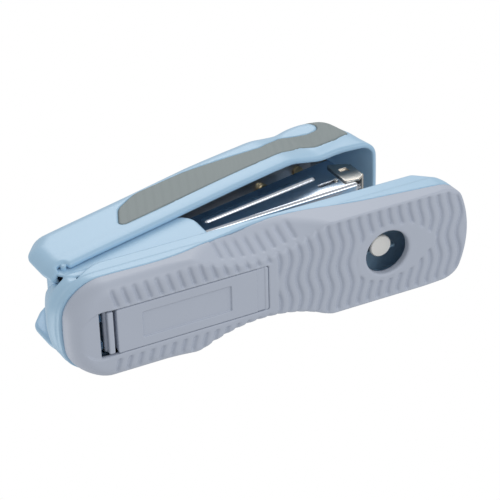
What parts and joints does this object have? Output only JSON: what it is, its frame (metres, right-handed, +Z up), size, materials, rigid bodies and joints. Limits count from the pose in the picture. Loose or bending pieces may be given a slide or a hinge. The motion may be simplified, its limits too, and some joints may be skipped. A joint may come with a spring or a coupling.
{
  "type": "stapler",
  "caption": "Hand-squeezed desk stapler: a hinged handle over a sprung staple magazine, a turning anvil on the base, and a snap door under it for spare staples.",
  "frame": {"origin": "centre of the base's footprint, on the desk", "axes": "+X forward to the nose, +Y to the left, +Z up"},
  "size_m": [0.1509, 0.0364, 0.0743],
  "materials": {
    "grey_plastic": "satin lavender grey, moulded",
    "blue_plastic": "semi-gloss pale blue, moulded",
    "grip_rubber": "matt grey-green with fine lengthwise lines",
    "zinc_steel": "zinc-plated sheet steel",
    "polished_steel": "bright plated sheet steel",
    "nickel": "warm nickel plate",
    "spring_steel": "drawn wire",
    "staple_wire": "galvanised wire",
    "brass": "yellow passivated",
    "white_nylon": "natural nylon"
  },
  "bodies": {
    "base": {"base_cover": "grey_plastic", "base_frame": "blue_plastic", "base_plate": "zinc_steel", "plate_screws": "zinc_steel", "hinge_pin": "polished_steel", "hinge_spacers": "white_nylon", "lift_spring": "spring_steel", "anvil_spring": "spring_steel", "spare_staples": "staple_wire"},
    "anvil_lift": {"anvil_stem": "polished_steel", "anvil_button": "zinc_steel"},
    "anvil_turn": {"anvil_plate": "polished_steel"},
    "door": {"storage_door": "grey_plastic"},
    "magazine": {"magazine_channel": "polished_steel", "nose_cap": "nickel", "cap_rivets": "nickel", "staple_rail": "zinc_steel", "staple_strip": "staple_wire", "pusher_spring": "spring_steel"},
    "pusher": {"pusher": "zinc_steel"},
    "handle": {"handle_shell": "blue_plastic", "handle_grip": "grip_rubber", "driver_arm": "zinc_steel", "driver_blade": "polished_steel", "blade_rivet": "brass", "handle_screws": "brass", "handle_spring": "spring_steel"}
  },
  "joints": [
    {"name": "magazine_hinge", "type": "hinge", "parent": "base", "child": "magazine", "pos_m": [-0.057, 0, 0.028], "axis": [0, 1, 0], "range_deg": [0, 8], "stiffness_Nm_per_rad": 1.2, "springref_deg": -14.32, "deforming": ["lift_spring"]},
    {"name": "handle_hinge", "type": "hinge", "parent": "magazine", "child": "handle", "pos_m": [-0.057, 0, 0.028], "axis": [0, 1, 0], "range_deg": [-22, 4.8], "stiffness_Nm_per_rad": 4, "springref_deg": -0.46, "deforming": ["handle_spring"]},
    {"name": "pusher_slide", "type": "slide", "parent": "magazine", "child": "pusher", "axis": [0.9982, 0, 0.0593], "range_m": [-0.028, 0], "stiffness_N_per_m": 30, "springref_m": 0.08},
    {"name": "anvil_lift", "type": "slide", "parent": "base", "child": "anvil_lift", "axis": [0, 0, 1], "range_m": [0, 0.0012], "stiffness_N_per_m": 800, "springref_m": -0.002, "deforming": ["anvil_spring"]},
    {"name": "anvil_turn", "type": "hinge", "parent": "anvil_lift", "child": "anvil_turn", "pos_m": [0.0433, 0, 0.0165], "axis": [0, 0, 1], "range_deg": [0, 180]},
    {"name": "door_hinge", "type": "hinge", "parent": "base", "child": "door", "pos_m": [-0.0031, 0, 0.0009], "axis": [0, -1, 0], "range_deg": [0, 100]}
  ]
}
